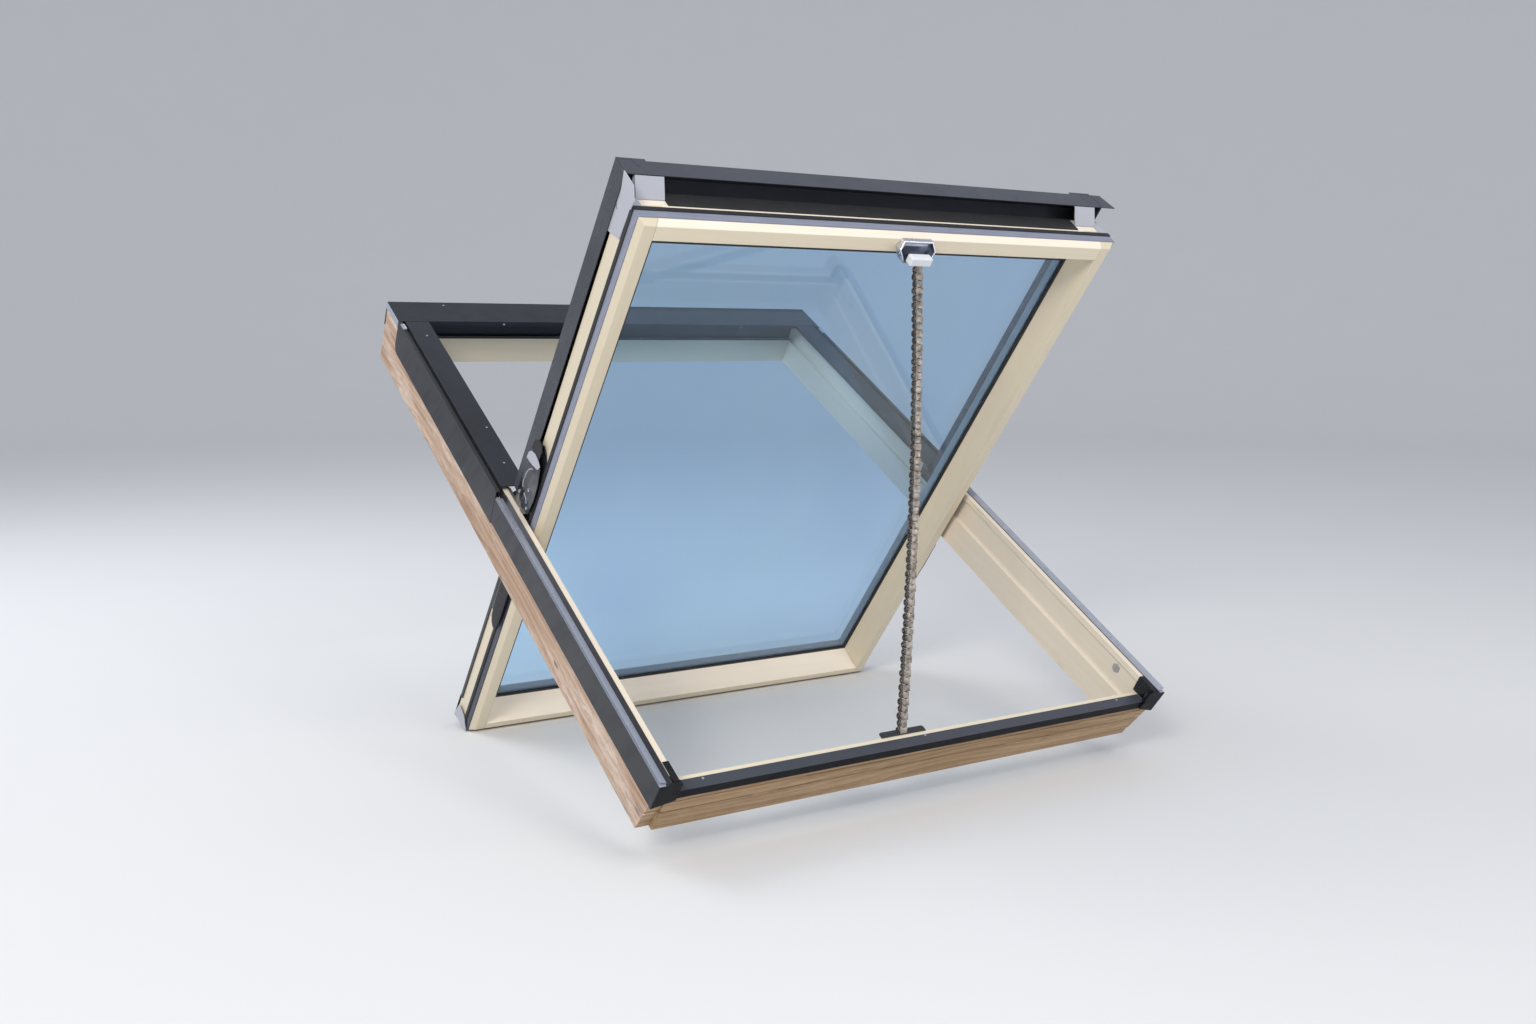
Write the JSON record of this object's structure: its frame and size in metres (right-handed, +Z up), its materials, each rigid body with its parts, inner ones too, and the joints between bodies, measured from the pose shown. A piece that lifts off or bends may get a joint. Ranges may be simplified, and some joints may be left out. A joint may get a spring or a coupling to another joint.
{
  "type": "centre pivot roof window",
  "caption": "Pine-framed roof window with dark metal cladding, its glazed sash pivoted wide open and held by a push chain.",
  "frame": {"origin": "middle of the flat underside of the bottom rail, where it would rest on the roof battens", "axes": "+X across the window to the right seen from the lower end, +Y level towards the upper end, +Z up; the frame stands at a roof pitch of 30 degrees"},
  "size_m": [0.94, 1.1516, 0.9441],
  "materials": {
    "frame_pine": "clear lacquer",
    "sash_pine": "pale lacquer",
    "dark_cladding": "satin",
    "pale_bracket": "satin",
    "pale_seal": "matt",
    "black_rubber": "matt",
    "clear_glass": "clear",
    "spacer_metal": "satin",
    "hinge_steel": "satin",
    "chain_steel": "satin",
    "bright_metal": "polished",
    "grey_plastic": "matt"
  },
  "bodies": {
    "root": {"frame_left_jamb": "frame_pine", "frame_right_jamb": "frame_pine", "frame_bottom_rail": "frame_pine", "frame_top_rail": "frame_pine", "sash_left_stile": "sash_pine", "sash_right_stile": "sash_pine", "sash_bottom_rail": "sash_pine", "sash_top_rail": "sash_pine", "top_hood": "dark_cladding", "top_inner_flashing": "dark_cladding", "bottom_rail_cladding": "dark_cladding", "left_side_cladding": "dark_cladding", "right_side_cladding": "dark_cladding", "left_upper_side_cladding": "dark_cladding", "right_upper_side_cladding": "dark_cladding", "left_upper_cover": "dark_cladding", "right_upper_cover": "dark_cladding", "left_end_cap": "dark_cladding", "right_end_cap": "dark_cladding", "sash_left_cover": "dark_cladding", "sash_right_cover": "dark_cladding", "sash_bottom_cover": "dark_cladding", "sash_top_trim": "dark_cladding", "left_sash_upper_trim": "dark_cladding", "right_sash_upper_trim": "dark_cladding", "chain_outlet_plate": "dark_cladding", "left_corner_bracket": "pale_bracket", "right_corner_bracket": "pale_bracket", "left_top_corner_bracket": "pale_bracket", "right_top_corner_bracket": "pale_bracket", "sash_seal_strip": "pale_seal", "frame_top_seal": "black_rubber", "glazing_gasket": "black_rubber", "sash_weather_seal": "black_rubber", "sash_bottom_foam": "black_rubber", "inner_glass_pane": "clear_glass", "outer_glass_pane": "clear_glass", "glass_spacer": "spacer_metal", "left_hinge_plate": "hinge_steel", "right_hinge_plate": "hinge_steel", "left_hinge_arm": "hinge_steel", "right_hinge_arm": "hinge_steel", "push_chain": "chain_steel", "chain_bracket": "bright_metal", "left_lock_disc": "grey_plastic", "right_lock_disc": "grey_plastic", "chain_end_block": "grey_plastic"}
  },
  "joints": []
}
